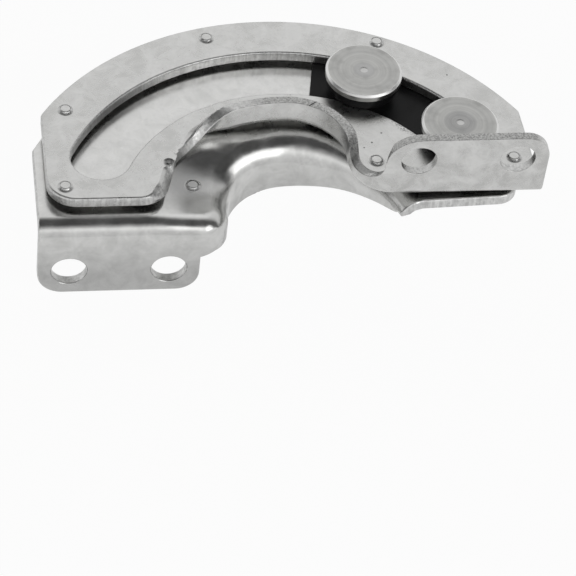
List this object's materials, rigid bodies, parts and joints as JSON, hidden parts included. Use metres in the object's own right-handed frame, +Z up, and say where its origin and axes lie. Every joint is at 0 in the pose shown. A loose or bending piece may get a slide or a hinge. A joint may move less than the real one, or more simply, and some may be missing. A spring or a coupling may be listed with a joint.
{
  "type": "crescent slot hinge",
  "caption": "Concealed furniture hinge: a crescent steel plate with a curved slot swings round riveted guide pins on a second plate, about an axis in open air.",
  "frame": {"origin": "middle of the frame half's two screw holes, on the flange face that is screwed down", "axes": "+X along both flanges towards the door flange, +Y back under the crescent plates, +Z up along the swing axis"},
  "size_m": [0.0914, 0.0505, 0.0319],
  "materials": {
    "zinc_plate": "bright zinc plating over pressed sheet, satin with small marks",
    "turned_steel": "turned, fine concentric rings",
    "black_nylon": "black, slightly shiny"
  },
  "bodies": {
    "frame_half": {"frame_plate": "zinc_plate", "first_guide_pin": "turned_steel", "second_guide_pin": "turned_steel", "first_pin_bush": "black_nylon", "second_pin_bush": "black_nylon", "glide_liner": "black_nylon"},
    "door_half": {"door_plate": "zinc_plate"}
  },
  "joints": [
    {"name": "door_swing", "type": "hinge", "parent": "frame_half", "child": "door_half", "pos_m": [0.03111, -0.0015, 0.014], "axis": [0, 0, -1], "range_deg": [0, 89]}
  ]
}
